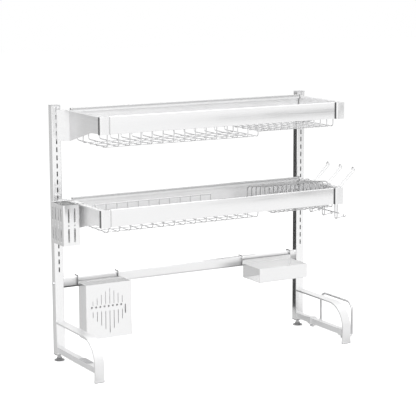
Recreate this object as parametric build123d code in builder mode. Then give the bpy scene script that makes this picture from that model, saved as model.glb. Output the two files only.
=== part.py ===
"""Over-sink dish rack: two slotted columns on bent feet, two hung shelves with wire
baskets, and the small holders that hang on the shelves and on the lower bar.

The origin is on the floor under the middle of the whole rack. +X runs along the rack
to the right, +Y to the back, +Z up. All lengths are in millimetres.
"""
import os
from math import sqrt

from build123d import *

# Whole rack
rack_length = 940.0
rack_depth = 316.0
rack_height = 820.0
side_reach = 25.0

# Sheet, wire and clearances
panel_sheet = 1.2
bracket_sheet = 1.5
box_sheet = 1.0
strap_sheet = 1.2
wire_size = 3.2
rim_size = 4.5
hook_wire_size = 4.0
weld_bite = 0.3
weld_gap = 0.02
hang_gap = 0.3
bore_gap = 0.05
cut_overrun = 5.0

# Columns
column_width = 31.0
column_depth = 26.0
column_wall = 1.2
column_corner = 3.0
column_foot_gap = 22.0
slot_width = 4.0
slot_height = 16.0
slot_pitch = 25.5
slot_count = 21
first_slot_drop = 12.0
cap_head = 3.0
cap_skirt = 15.0
cap_skirt_wall = 2.0

# Feet
arch_height = 130.0
arch_radius = 81.0
band_thickness = 5.5
rail_width = 20.0
rail_height = 18.5
rail_wall = 1.2
rail_underside = 27.0
leg_pad_wall = 1.2
leg_pad_height = 6.0
leg_pad_floor = 2.5
foot_disc_radius = 16.0
foot_disc_height = 2.5
foot_neck_radius = 9.5
foot_cone_radius = 8.0
foot_cone_height = 7.0
foot_stem_radius = 4.0
foot_stem_length = 56.0
foot_hex_radius = 7.5
foot_hex_height = 4.0
foot_plug_flange = 2.0
foot_plug_depth = 18.0

# Lower bar
bar_height = 35.0
bar_thickness = 15.0
bar_wall = 1.2
bar_centre_height = 252.5
bar_plug_length = 30.0
bar_bolt_radius = 3.0
bar_bolt_head_radius = 5.5
bar_bolt_head_height = 2.4
bar_bolt_grip = 18.0

# Shelf frames
panel_height = 53.5
shelf_step_slots = 11
first_tooth_drop = 24.5
tooth_slots = 3
tooth_neck = 9.0
tooth_hook_drop = 5.0
tooth_hook_thickness = 3.0
web_inset = 46.0
joggle_front = 30.5
joggle_back = 8.5
bracket_rear_height = 98.0
bracket_kink = 185.0
bracket_kink_height = 57.0
flange_width = 15.0
flange_lip = 3.5
shelf_front = 282.0
corner_width = 32.0
corner_wall = 2.0
corner_wrap = 14.0
corner_radius = 5.0
panel_recess = 8.0
hem_depth = 8.0
hem_height = 10.0
back_hem_height = 13.0
back_rise = 6.0
back_panel_inset = 33.0
tab_length = 14.0
tab_height = 34.0
rivet_radius = 1.6
rivet_head_radius = 3.4
rivet_head_height = 1.8
rivet_bite = 1.0
rivet_spacing = 22.0

# Wire baskets
basket_gap = 1.0
ledge_backoff = 1.0
rim_corner = 3.0
left_basket_margin = 17.5
left_basket_length = 528.0
left_basket_wires = 15
basket_split = 14.0
right_basket_margin = 14.5
top_right_wires = 12
top_left_drop = 40.0
top_right_drop = 25.0
bowl_rack_drop = 20.0
plate_rack_drop = 11.0
plate_rack_pitch = 17.0
plate_rack_wires = 14
wide_bend = 15.0
basket_bend = 10.0
tight_bend = 5.0
long_wire_shares = (0.1, 0.34, 0.57, 0.79)
fence_inset = 88.0
fence_top_drop = 13.0
fence_first_wire = 1
fence_last_wire = 12
divider_back_inset = 88.0
divider_front_inset = 236.0
divider_back_drop = 2.0
divider_front_rise = 18.0
divider_bend = 16.0

# Cutlery cage
cage_width = 55.6
cage_front = 130.0
cage_back = 33.0
cage_height = 127.0
cage_top_drop = 1.5
cage_corner = 5.0
cage_slot_width = 5.0
cage_slot_length = 44.0
cage_slot_gap = 18.0
cage_slot_pitch = 20.0
cage_dot_radius = 2.5
cage_drain_columns = 4
cage_drain_rows = 7
cage_side_slots = 4
cage_front_slots = 2
cage_hook_width = 12.0
cage_hook_grip = 14.0
cage_hook_lap = 20.0

# Cup-hook rack
hook_stations = 3
first_hook_station = 109.0
hook_station_pitch = 73.5
hairpin_gap = 13.0
hairpin_low_drop = 104.5
jog_low_drop = 28.0
jog_high_drop = 14.0
prong_start_rise = 2.0
prong_knee_rise = 50.5
prong_tip_rise = 60.5
prong_bend = 5.0
peg_reach = 31.0
peg_rise = 6.0
peg_ball_radius = 5.5
upper_hook_rail_drop = 42.0
lower_hook_rail_drop = 86.0
hanger_foot_drop = 48.0
back_hanger = 72.0
front_hanger = 200.0
over_hook_grip = 14.0

# Knife and chopstick box
knife_box_left = 79.0
knife_box_length = 161.0
knife_box_front = 60.5
knife_box_back = 2.0
knife_box_hang = 180.5
knife_box_height = 178.0
knife_box_corner = 3.5
knife_back_rise = 3.5
knife_slots = 9
knife_slot_pitch = 14.8
knife_slot_shift = 2.0
knife_slot_width = 2.2
knife_slot_margin = 15.5
knife_slot_least = 0.25
knife_end_slot_width = 4.5
knife_end_slot_length = 30.0
knife_dot_radius = 3.6
knife_dot_gap = 3.0
knife_dot_rise = 15.0
knife_dot_aside = 4.0
knife_tray_height = 16.0
knife_tray_wall = 1.6
bar_hook_foot = 9.0
bar_hook_foot_height = 10.0
bar_hook_drop = 27.0
bar_hook_head = 3.0
bar_hook_grip = 20.0
knife_hook_inset = 18.0
caddy_hook_outset = 2.5

# Sponge caddy
caddy_left = 692.5
caddy_length = 188.5
caddy_front = 110.0
caddy_back = 2.0
caddy_hang = 54.5
caddy_back_height = 60.0
caddy_front_height = 47.5
caddy_end_front = 19.5
caddy_corner = 8.0
caddy_drain_radius = 3.0
caddy_drain_pitch = 22.0
caddy_drain_rows = 3
caddy_drain_columns = 7

# Sink-edge stop and towel hoop
stop_length = 57.0
stop_thickness = 2.0
stop_lap = 10.0
stop_front = 160.0
hoop_rod = 8.0
hoop_foot_bend = 8.0
hoop_plane_reach = 21.0
hoop_back = 78.0
hoop_front = 263.0
hoop_top = 131.0
hoop_corner = 30.0
clamp_length = 18.0
clamp_wall = 3.0
clamp_tab_drop = 10.0
clamp_screw_radius = 2.0
clamp_screw_head_radius = 4.0
clamp_screw_head_height = 2.5

# Places worked out from the sizes above
rack_left = -rack_length / 2
rack_right = rack_length / 2
front_edge = -rack_depth / 2
column_line = rack_depth / 2 - foot_disc_radius
column_front = column_line - column_depth / 2
column_top = rack_height - cap_head
column_bottom = column_foot_gap
left_column_line = rack_left + column_width / 2
bar_left = rack_left + column_width
bar_right = rack_right - column_width
knife_box_bottom = bar_centre_height - knife_box_hang
caddy_bottom = bar_centre_height - caddy_hang
leg_front = front_edge + leg_pad_wall
leg_back = leg_front + band_thickness
top_slot_height = rack_height - first_slot_drop
top_shelf_height = top_slot_height - slot_pitch + first_tooth_drop
middle_shelf_height = top_shelf_height - shelf_step_slots * slot_pitch

web_outer = rack_left + web_inset
web_inner = web_outer + bracket_sheet
corner_front = column_front - shelf_front
panel_front = corner_front + panel_recess
panel_rear = panel_front + panel_sheet
back_face = column_front - back_panel_inset
ledge_depth = hem_depth + basket_gap + rim_size - ledge_backoff
rim_front_line = panel_front + hem_depth + basket_gap + rim_size / 2
rim_back_line = back_face - hem_depth - basket_gap - rim_size / 2
rim_to_wire = rim_size / 2 + wire_size / 2 - weld_bite
wire_front_line = rim_front_line + rim_to_wire
wire_back_line = rim_back_line - rim_to_wire

left_first_wire = web_inner + left_basket_margin
left_last_wire = left_first_wire + left_basket_length
right_first_wire = left_last_wire + basket_split
right_last_wire = rack_right - web_inset - bracket_sheet - right_basket_margin
plate_first_wire = right_last_wire - plate_rack_pitch * (plate_rack_wires - 1)


def save(builder, label):
    """Name a finished piece and write it to its own file."""
    builder.part.label = label
    export_step(builder.part, f"parts/{label}.step")


def block(low, high, mode=Mode.ADD):
    """Put a box between two opposite corners into the open part."""
    size = [b - a for a, b in zip(low, high)]
    middle = [(a + b) / 2 for a, b in zip(low, high)]
    with Locations(tuple(middle)):
        Box(*size, mode=mode)


def rods(plane, centres, diameter, length, mode=Mode.ADD):
    """Put parallel round rods into the open part, one from each centre on the plane."""
    with BuildSketch(plane) as ends:
        with Locations(*centres):
            Circle(diameter / 2)
    extrude(ends.sketch, amount=length, mode=mode)


def turned_rods(plane, centres, diameter, axis, angle):
    """Put parallel bends into the open part, turned about an axis from the plane."""
    with BuildSketch(plane) as ends:
        with Locations(*centres):
            Circle(diameter / 2)
    revolve(ends.sketch, axis=axis, revolution_arc=angle)


def bent_rod(points, bend, diameter):
    """Put one round rod along a line of straight runs with rounded corners."""
    with BuildLine() as path:
        FilletPolyline(*points, radius=bend)
    with BuildSketch(Plane(origin=path.line @ 0, z_dir=path.line % 0)) as end:
        Circle(diameter / 2)
    sweep(end.sketch, path=path.line)


def prism_along_x(outline, start, length, mode=Mode.ADD):
    """Put a straight-edged outline, given as (y, z) points, into the open part along X."""
    with BuildSketch(Plane.YZ.offset(start)) as face:
        with BuildLine():
            Polyline(*outline, close=True)
        make_face()
    extrude(face.sketch, amount=length, mode=mode)


def slot_height_at(index):
    """Give the height of a column slot's middle, counted down from the top one."""
    return top_slot_height - index * slot_pitch


def make_column():
    """Make the left slotted column, drilled for the bar's bolt."""
    with BuildPart() as column:
        with BuildSketch(Plane.XY.offset(column_bottom)) as section:
            with Locations((left_column_line, column_line)):
                RectangleRounded(column_width, column_depth, column_corner)
                RectangleRounded(
                    column_width - 2 * column_wall,
                    column_depth - 2 * column_wall,
                    column_corner - column_wall,
                    mode=Mode.SUBTRACT,
                )
        extrude(section.sketch, amount=column_top - column_bottom)
        with BuildSketch(Plane.XZ.offset(-column_front)) as slots:
            places = [(left_column_line, slot_height_at(i)) for i in range(slot_count)]
            with Locations(*places):
                SlotOverall(slot_height, slot_width, rotation=90)
        extrude(slots.sketch, amount=-column_corner, mode=Mode.SUBTRACT)
        rods(
            Plane.YZ.offset(rack_left),
            [(column_line, bar_centre_height)],
            2 * (bar_bolt_radius + bore_gap),
            column_width,
            mode=Mode.SUBTRACT,
        )
    return column


def make_column_cap():
    """Make the left column's plastic cap, with a skirt inside the tube."""
    inner_width = column_width - 2 * column_wall
    inner_depth = column_depth - 2 * column_wall
    inner_corner = column_corner - column_wall
    with BuildPart() as cap:
        with BuildSketch(Plane.XY.offset(column_top)) as head:
            with Locations((left_column_line, column_line)):
                RectangleRounded(column_width, column_depth, column_corner)
        extrude(head.sketch, amount=cap_head)
        fillet(cap.edges().group_by(Axis.Z)[-1], radius=cap_head / 2)
        with BuildSketch(Plane.XY.offset(column_top)) as skirt:
            with Locations((left_column_line, column_line)):
                RectangleRounded(inner_width, inner_depth, inner_corner)
                Rectangle(
                    inner_width - 2 * cap_skirt_wall,
                    inner_depth - 2 * cap_skirt_wall,
                    mode=Mode.SUBTRACT,
                )
        extrude(skirt.sketch, amount=-cap_skirt)
    return cap


def make_foot_arch():
    """Make the left bent band, from the column's face over the sink edge to the floor."""
    with BuildPart() as arch:
        with BuildSketch(Plane.YZ.offset(rack_left)) as band:
            with BuildLine():
                outer = FilletPolyline(
                    (column_front, arch_height),
                    (leg_front, arch_height),
                    (leg_front, leg_pad_floor),
                    radius=arch_radius,
                )
                inner = FilletPolyline(
                    (column_front, arch_height - band_thickness),
                    (leg_back, arch_height - band_thickness),
                    (leg_back, leg_pad_floor),
                    radius=arch_radius - band_thickness,
                )
                Line(outer @ 0, inner @ 0)
                Line(outer @ 1, inner @ 1)
            make_face()
        extrude(band.sketch, amount=column_width)
    return arch


def make_leg_pad():
    """Make the left rubber boot on the band's floor end."""
    with BuildPart() as pad:
        block(
            (rack_left - leg_pad_wall, front_edge, 0),
            (rack_left + column_width + leg_pad_wall, leg_back + leg_pad_wall, leg_pad_height),
        )
        fillet(pad.edges().filter_by(Axis.Z), radius=leg_pad_wall)
        block(
            (rack_left, leg_front, leg_pad_floor),
            (rack_left + column_width, leg_back, leg_pad_height),
            mode=Mode.SUBTRACT,
        )
    return pad


def make_foot_rail():
    """Make the left lower rail, a rectangular tube between leg and column."""
    low = (left_column_line - rail_width / 2, leg_back, rail_underside)
    high = (left_column_line + rail_width / 2, column_front, rail_underside + rail_height)
    with BuildPart() as rail:
        block(low, high)
        block(
            (low[0] + rail_wall, low[1], low[2] + rail_wall),
            (high[0] - rail_wall, high[1], high[2] - rail_wall),
            mode=Mode.SUBTRACT,
        )
    return rail


def make_foot_plug():
    """Make the left plug in the column's lower end, bored for the levelling stem."""
    flange_bottom = column_bottom - foot_plug_flange
    with BuildPart() as plug:
        with BuildSketch(Plane.XY.offset(flange_bottom)) as flange:
            with Locations((left_column_line, column_line)):
                RectangleRounded(column_width, column_depth, column_corner)
        extrude(flange.sketch, amount=foot_plug_flange)
        with BuildSketch(Plane.XY.offset(column_bottom)) as core:
            with Locations((left_column_line, column_line)):
                RectangleRounded(
                    column_width - 2 * column_wall,
                    column_depth - 2 * column_wall,
                    column_corner - column_wall,
                )
        extrude(core.sketch, amount=foot_plug_depth)
        rods(
            Plane.XY.offset(flange_bottom),
            [(left_column_line, column_line)],
            2 * (foot_stem_radius + bore_gap),
            foot_plug_flange + foot_plug_depth,
            mode=Mode.SUBTRACT,
        )
    return plug


def make_foot_base():
    """Make the left levelling foot's round base, bored for its stem."""
    centre = (left_column_line, column_line)
    with BuildPart() as base:
        rods(Plane.XY, [centre], 2 * foot_disc_radius, foot_disc_height)
        with BuildSketch(Plane.XY.offset(foot_disc_height)) as cone_foot:
            with Locations(centre):
                Circle(foot_neck_radius)
        with BuildSketch(Plane.XY.offset(foot_disc_height + foot_cone_height)) as cone_top:
            with Locations(centre):
                Circle(foot_cone_radius)
        loft([cone_foot.sketch.face(), cone_top.sketch.face()])
        rods(
            Plane.XY.offset(foot_disc_height),
            [centre],
            2 * (foot_stem_radius + bore_gap),
            foot_cone_height,
            mode=Mode.SUBTRACT,
        )
    return base


def make_foot_stem():
    """Make the left levelling foot's stem with its hexagon for a spanner."""
    centre = (left_column_line, column_line)
    hex_bottom = foot_disc_height + foot_cone_height
    with BuildPart() as stem:
        rods(Plane.XY.offset(foot_disc_height), [centre], 2 * foot_stem_radius, foot_stem_length)
        with BuildSketch(Plane.XY.offset(hex_bottom)) as hexagon:
            with Locations(centre):
                RegularPolygon(foot_hex_radius, 6)
        extrude(hexagon.sketch, amount=foot_hex_height)
    return stem


def make_bar():
    """Make the flat-oval tube between the columns."""
    with BuildPart() as bar:
        with BuildSketch(Plane.YZ.offset(bar_left)) as section:
            with Locations((column_line, bar_centre_height)):
                SlotOverall(bar_height, bar_thickness, rotation=90)
                SlotOverall(
                    bar_height - 2 * bar_wall,
                    bar_thickness - 2 * bar_wall,
                    rotation=90,
                    mode=Mode.SUBTRACT,
                )
        extrude(section.sketch, amount=bar_right - bar_left)
    return bar


def make_bar_plug():
    """Make the left plug inside the bar, bored for the bolt."""
    with BuildPart() as plug:
        with BuildSketch(Plane.YZ.offset(bar_left)) as section:
            with Locations((column_line, bar_centre_height)):
                SlotOverall(
                    bar_height - 2 * bar_wall,
                    bar_thickness - 2 * bar_wall,
                    rotation=90,
                )
                Circle(bar_bolt_radius + bore_gap, mode=Mode.SUBTRACT)
        extrude(section.sketch, amount=bar_plug_length)
    return plug


def make_bar_bolt():
    """Make the left bolt through the column into the bar's plug."""
    centre = [(column_line, bar_centre_height)]
    with BuildPart() as bolt:
        rods(Plane.YZ.offset(rack_left), centre, 2 * bar_bolt_radius, column_width + bar_bolt_grip)
        rods(
            Plane.YZ.offset(rack_left),
            centre,
            2 * bar_bolt_head_radius,
            -bar_bolt_head_height,
        )
        fillet(bolt.edges().group_by(Axis.X)[0], radius=bar_bolt_head_height / 2)
    return bolt


def make_bracket(top):
    """Make the left side bracket of a shelf, with its teeth in the column's slots."""
    slot_line = left_column_line - bracket_sheet / 2
    web_front = panel_front
    bottom = top - bracket_rear_height
    plan = [
        (slot_line, column_front - hang_gap),
        (slot_line, column_front - joggle_back),
        (web_outer, column_front - joggle_front),
        (web_outer, web_front),
        (web_inner, web_front),
        (web_inner, column_front - joggle_front),
        (slot_line + bracket_sheet, column_front - joggle_back),
        (slot_line + bracket_sheet, column_front - hang_gap),
    ]
    kink = column_front - bracket_kink
    low_front = top - panel_height
    below = bottom - cut_overrun
    ahead = web_front - cut_overrun
    underside = [
        (column_front, bottom),
        (column_front - joggle_front, bottom),
        (kink, top - bracket_kink_height),
        (web_front, low_front),
        (ahead, low_front),
        (ahead, below),
        (column_front, below),
    ]
    slot_rise = slot_width / 2 - sqrt((slot_width / 2) ** 2 - (bracket_sheet / 2) ** 2)
    hook_front = column_front + column_wall + hang_gap
    with BuildPart() as bracket:
        with BuildSketch(Plane.XY.offset(bottom)) as outline:
            with BuildLine():
                Polyline(*plan, close=True)
            make_face()
        extrude(outline.sketch, amount=bracket_rear_height)
        prism_along_x(
            underside,
            web_outer - column_width,
            2 * column_width,
            mode=Mode.SUBTRACT,
        )
        flange_edge = web_outer - flange_width
        flange_start = corner_front + corner_wrap
        block(
            (flange_edge, flange_start, top - flange_lip),
            (web_outer, column_front - joggle_front, top - flange_lip + bracket_sheet),
        )
        block(
            (flange_edge, flange_start, top - flange_lip),
            (flange_edge + bracket_sheet, column_front - joggle_front, top),
        )
        for tab_face in (panel_rear, back_face + panel_sheet):
            block(
                (web_inner, tab_face, top - panel_height / 2 - tab_height / 2),
                (web_inner + tab_length, tab_face + bracket_sheet, top - panel_height / 2 + tab_height / 2),
            )
        for index in range(tooth_slots):
            slot_bottom = top - first_tooth_drop - index * slot_pitch - slot_height / 2
            rest = slot_bottom + slot_rise + bore_gap
            block(
                (slot_line, column_front - hang_gap, rest),
                (slot_line + bracket_sheet, hook_front + tooth_hook_thickness, rest + tooth_neck),
            )
            block(
                (slot_line, hook_front, rest - tooth_hook_drop),
                (slot_line + bracket_sheet, hook_front + tooth_hook_thickness, rest),
            )
        for height in rivet_heights(top):
            drill_rivets(height)
    return bracket


def rivet_heights(top):
    """Give the heights of a shelf frame's rivets."""
    middle = top - panel_height / 2
    return (middle - rivet_spacing / 2, middle + rivet_spacing / 2)


def drill_rivets(height):
    """Cut the left rivet holes at one height through whatever part is open."""
    line = web_inner + tab_length / 2
    rods(
        Plane.XZ.offset(-(panel_rear + bracket_sheet)),
        [(line, height)],
        2 * (rivet_radius + bore_gap),
        bracket_sheet + panel_sheet + rivet_bite,
        mode=Mode.SUBTRACT,
    )
    rods(
        Plane.XZ.offset(-(back_face + panel_sheet + bracket_sheet)),
        [(line, height)],
        2 * (rivet_radius + bore_gap),
        panel_sheet + bracket_sheet,
        mode=Mode.SUBTRACT,
    )


def make_front_panel(top):
    """Make a shelf's front panel, with a hem at the top and a ledge at the bottom."""
    bottom = top - panel_height
    section = [
        (panel_front, bottom),
        (panel_front + ledge_depth, bottom),
        (panel_front + ledge_depth, bottom + panel_sheet),
        (panel_rear, bottom + panel_sheet),
        (panel_rear, top - panel_sheet),
        (panel_front + hem_depth - panel_sheet, top - panel_sheet),
        (panel_front + hem_depth - panel_sheet, top - hem_height),
        (panel_front + hem_depth, top - hem_height),
        (panel_front + hem_depth, top),
        (panel_front, top),
    ]
    with BuildPart() as panel:
        prism_along_x(section, web_inner, -2 * web_inner)
        for height in rivet_heights(top):
            drill_rivets(height)
        for height in rivet_heights(top):
            mirrored_holes(height)
    return panel


def make_back_panel(top):
    """Make a shelf's back panel, taller than the front one, hemmed the same way."""
    bottom = top - panel_height
    rim = top + back_rise
    rear = back_face + panel_sheet
    section = [
        (rear, bottom),
        (rear, rim),
        (back_face - hem_depth, rim),
        (back_face - hem_depth, rim - back_hem_height),
        (back_face - hem_depth + panel_sheet, rim - back_hem_height),
        (back_face - hem_depth + panel_sheet, rim - panel_sheet),
        (back_face, rim - panel_sheet),
        (back_face, bottom + panel_sheet),
        (rear - ledge_depth, bottom + panel_sheet),
        (rear - ledge_depth, bottom),
    ]
    with BuildPart() as panel:
        prism_along_x(section, web_inner, -2 * web_inner)
        for height in rivet_heights(top):
            drill_rivets(height)
        for height in rivet_heights(top):
            mirrored_holes(height)
    return panel


def mirrored_holes(height):
    """Cut the right rivet holes at one height through whatever part is open."""
    line = -web_inner - tab_length / 2
    for rear, depth in (
        (panel_rear, panel_sheet),
        (back_face + panel_sheet, panel_sheet),
    ):
        rods(
            Plane.XZ.offset(-rear),
            [(line, height)],
            2 * (rivet_radius + bore_gap),
            depth,
            mode=Mode.SUBTRACT,
        )


def make_corner_cap(top):
    """Make the left front corner cap, wrapped round the bracket's and the panel's ends."""
    outer = web_outer - flange_width
    inner = outer + corner_width
    back = corner_front + corner_wrap
    with BuildPart() as cap:
        block((outer, corner_front, top - panel_height), (inner, back, top))
        fillet(
            cap.edges().filter_by(Axis.Z).group_by(Axis.Y)[0],
            radius=corner_radius,
        )
        block(
            (web_outer, panel_front, top - panel_height),
            (inner, back, top),
            mode=Mode.SUBTRACT,
        )
        block(
            (outer + corner_wall, corner_front + corner_wall, top - panel_height),
            (inner - corner_wall, panel_front, top - corner_wall),
            mode=Mode.SUBTRACT,
        )
        block(
            (outer + corner_wall, panel_front, top - panel_height),
            (web_outer, back, top - flange_lip),
            mode=Mode.SUBTRACT,
        )
    return cap


def make_rivets(top):
    """Make a shelf frame's eight rivets, four in front and four at the back."""
    lines = (web_inner + tab_length / 2, -web_inner - tab_length / 2)
    front_head = panel_rear + bracket_sheet
    back_head = back_face + panel_sheet + bracket_sheet
    places = [(line, height) for line in lines for height in rivet_heights(top)]
    grip = bracket_sheet + panel_sheet
    with BuildPart() as rivets:
        for rear in (front_head, back_head):
            rods(Plane.XZ.offset(-rear), places, 2 * rivet_radius, grip)
            rods(Plane.XZ.offset(-rear), places, 2 * rivet_head_radius, -rivet_head_height)
    return rivets


def make_basket(first, last, count, ledge_top, drop, bend, upturned):
    """Make a welded basket: a front, a back, two ends and a floor of wires.

    The rim stands just over the ledges at ledge_top, and the floor's wires hang by
    drop under it. The long wire named by upturned turns up at both ends.
    """
    pitch = (last - first) / (count - 1)
    lines = [first + index * pitch for index in range(count)]
    rim_line = ledge_top + hang_gap + rim_size / 2
    floor_line = ledge_top - panel_sheet - drop
    wire_tops = rim_line + rim_size / 2 - weld_bite
    end_offset = rim_size / 2 + wire_size / 2 + weld_gap
    left_rim = first - end_offset
    right_rim = last + end_offset
    long_line = floor_line - wire_size + weld_bite
    with BuildPart() as walls:
        for wall_line, rim_wall_line, inward in (
            (wire_front_line, rim_front_line, 1),
            (wire_back_line, rim_back_line, -1),
        ):
            bend_line = floor_line + bend
            centres = [(line, wall_line) for line in lines]
            rods(Plane.XY.offset(bend_line), centres, wire_size, wire_tops - bend_line)
            turned_rods(
                Plane.XY.offset(bend_line),
                centres,
                wire_size,
                Axis((0, wall_line + inward * bend, bend_line), (1, 0, 0)),
                90 * inward,
            )
            rods(
                Plane.YZ.offset(left_rim + rim_corner),
                [(rim_wall_line, rim_line)],
                rim_size,
                right_rim - left_rim - 2 * rim_corner,
            )
    with BuildPart() as floor:
        start = wire_front_line + bend
        stop = wire_back_line - bend
        rods(
            Plane.XZ.offset(-start),
            [(line, floor_line) for line in lines],
            wire_size,
            -(stop - start),
        )
        span = stop - start
        places = [(start + share * span, long_line) for share in long_wire_shares]
        plain_places = [place for index, place in enumerate(places) if index != upturned]
        rods(Plane.YZ.offset(first), plain_places, wire_size, last - first)
        upturned_start = left_rim + tight_bend
        upturned_end = right_rim - tight_bend
        rods(
            Plane.YZ.offset(upturned_start),
            [places[upturned]],
            wire_size,
            upturned_end - upturned_start,
        )
    with BuildPart() as ends:
        turn = tight_bend
        upturned_line = start + long_wire_shares[upturned] * span
        for rim_x, first_wire, inward in ((left_rim, first, 1), (right_rim, last, -1)):
            rods(
                Plane.XZ.offset(-(rim_front_line + rim_corner)),
                [(rim_x, rim_line)],
                rim_size,
                -(rim_back_line - rim_front_line - 2 * rim_corner),
            )
            for corner_y, turn_way in (
                (rim_front_line + rim_corner, inward),
                (rim_back_line - rim_corner, -inward),
            ):
                turned_rods(
                    Plane.XZ.offset(-corner_y),
                    [(rim_x, rim_line)],
                    rim_size,
                    Axis((rim_x + inward * rim_corner, corner_y, 0), (0, 0, 1)),
                    90 * turn_way,
                )
            rods(
                Plane.XY.offset(long_line + turn),
                [(rim_x, upturned_line)],
                wire_size,
                rim_line - long_line - turn,
            )
            turned_rods(
                Plane.XY.offset(long_line + turn),
                [(rim_x, upturned_line)],
                wire_size,
                Axis((rim_x + inward * turn, 0, long_line + turn), (0, 1, 0)),
                -90 * inward,
            )
    return walls, floor, ends


def make_fence(first, last, count, top, floor_line):
    """Make the bowl rack's back fence: posts on the floor wires under one top wire."""
    pitch = (last - first) / (count - 1)
    lines = [first + index * pitch for index in range(fence_first_wire, fence_last_wire + 1)]
    fence_line = column_front - fence_inset
    fence_top = top - fence_top_drop
    with BuildPart() as fence:
        rods(
            Plane.XY.offset(floor_line + wire_size / 2 + weld_gap),
            [(line, fence_line) for line in lines],
            wire_size,
            fence_top - floor_line - wire_size / 2 - weld_gap,
        )
        rods(
            Plane.YZ.offset(lines[0] - wire_size),
            [(fence_line - wire_size + weld_bite, fence_top - wire_size / 2)],
            wire_size,
            lines[-1] - lines[0] + 2 * wire_size,
        )
    return fence


def make_dividers(first, count, pitch, top, floor_line):
    """Make the plate rack's dividers, bent wires that stand on its floor wires."""
    low = floor_line + wire_size / 2 + weld_gap
    back = column_front - divider_back_inset
    front = column_front - divider_front_inset
    with BuildPart() as divider:
        bent_rod(
            [
                (first, back, low),
                (first, back, top - divider_back_drop),
                (first, front, top + divider_front_rise),
                (first, front, low),
            ],
            divider_bend,
            wire_size,
        )
    with BuildPart() as dividers:
        with Locations(*[(index * pitch, 0, 0) for index in range(count)]):
            add(divider.part)
    return dividers


def make_cage(top):
    """Make the cutlery cage, a slotted sheet box open at the top."""
    left = rack_left - side_reach
    front = column_front - cage_front
    back = column_front - cage_back
    rim = top - cage_top_drop
    bottom = rim - cage_height
    middle = (left + cage_width / 2, (front + back) / 2)
    with BuildPart() as cage:
        with BuildSketch(Plane.XY.offset(bottom)) as plan:
            with Locations(middle):
                RectangleRounded(cage_width, back - front, cage_corner)
        extrude(plan.sketch, amount=cage_height)
        with BuildSketch(Plane.XY.offset(bottom + box_sheet)) as hollow:
            with Locations(middle):
                RectangleRounded(
                    cage_width - 2 * box_sheet,
                    back - front - 2 * box_sheet,
                    cage_corner - box_sheet,
                )
        extrude(hollow.sketch, amount=cage_height, mode=Mode.SUBTRACT)
        tier_step = (cage_slot_length + cage_slot_gap) / 2
        tiers = (bottom + cage_height / 2 - tier_step, bottom + cage_height / 2 + tier_step)
        for plane, across, count in (
            (Plane.XZ.offset(-(front - cut_overrun)), middle[0], cage_front_slots),
            (Plane.YZ.offset(left - cut_overrun), middle[1], cage_side_slots),
        ):
            start = across - cage_slot_pitch * (count - 1) / 2
            columns = [start + index * cage_slot_pitch for index in range(count)]
            away = 1 if plane.z_dir.X > 0 else -1
            with BuildSketch(plane) as slots:
                with Locations(*[(column, tier) for column in columns for tier in tiers]):
                    SlotOverall(cage_slot_length, cage_slot_width, rotation=90)
                with Locations(*[(column, bottom + cage_height / 2) for column in columns]):
                    Circle(cage_dot_radius)
            extrude(
                slots.sketch,
                amount=away * (2 * cut_overrun),
                mode=Mode.SUBTRACT,
            )
        with BuildSketch(Plane.XY.offset(bottom)) as drains:
            with Locations(middle):
                with GridLocations(
                    cage_slot_pitch / 2, cage_slot_pitch / 2, cage_drain_columns, cage_drain_rows
                ):
                    Circle(cage_dot_radius)
        extrude(drains.sketch, amount=box_sheet, mode=Mode.SUBTRACT)
    return cage


def make_cage_hooks(top):
    """Make the two straps that carry the cage on the bracket's top edge."""
    wall_face = rack_left - side_reach + cage_width - box_sheet
    low = top - cage_top_drop - cage_hook_lap
    lift = top + hang_gap
    inner = web_inner + hang_gap
    front = column_front - cage_front + cage_corner
    back = back_face - hem_depth - hang_gap - cage_hook_width
    with BuildPart() as hooks:
        for start in (front, back):
            block(
                (wall_face - strap_sheet, start, low),
                (wall_face, start + cage_hook_width, lift + strap_sheet),
            )
            block(
                (wall_face, start, lift),
                (inner + strap_sheet, start + cage_hook_width, lift + strap_sheet),
            )
            block(
                (inner, start, top - cage_hook_grip),
                (inner + strap_sheet, start + cage_hook_width, lift),
            )
    return hooks


def station_line(index):
    """Give the Y place of a cup hook, counted from the back."""
    return column_front - first_hook_station - index * hook_station_pitch


def hook_wire_line():
    """Give the X place of the hook rack's upright wires."""
    return rack_right - web_inset + hang_gap + hook_wire_size / 2


def flange_line():
    """Give the X place of an upright wire just outside the bracket's flange."""
    return rack_right - web_inset + flange_width + hang_gap + hook_wire_size / 2


def make_hairpins(top):
    """Make the cup hooks, closed hairpins that rise outwards over the shelf."""
    upright = hook_wire_line()
    tip = rack_right + side_reach - hook_wire_size / 2
    half = hairpin_gap / 2
    low = top - hairpin_low_drop
    clear = flange_line()
    runs = [
        (upright, low + half),
        (upright, top - jog_low_drop),
        (clear, top - jog_high_drop),
        (clear, top + prong_start_rise),
        (tip, top + prong_knee_rise),
        (tip, top + prong_tip_rise - half),
    ]
    with BuildPart() as hairpins:
        for index in range(hook_stations):
            line = station_line(index)
            for side in (-half, half):
                bent_rod([(x, line + side, z) for x, z in runs], prong_bend, hook_wire_size)
            for x, height, way in ((upright, low + half, -1), (tip, top + prong_tip_rise - half, 1)):
                turned_rods(
                    Plane.XY.offset(height),
                    [(x, line - half)],
                    hook_wire_size,
                    Axis((0, line, height), (1, 0, 0)),
                    -180 * way,
                )
    return hairpins


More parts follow.
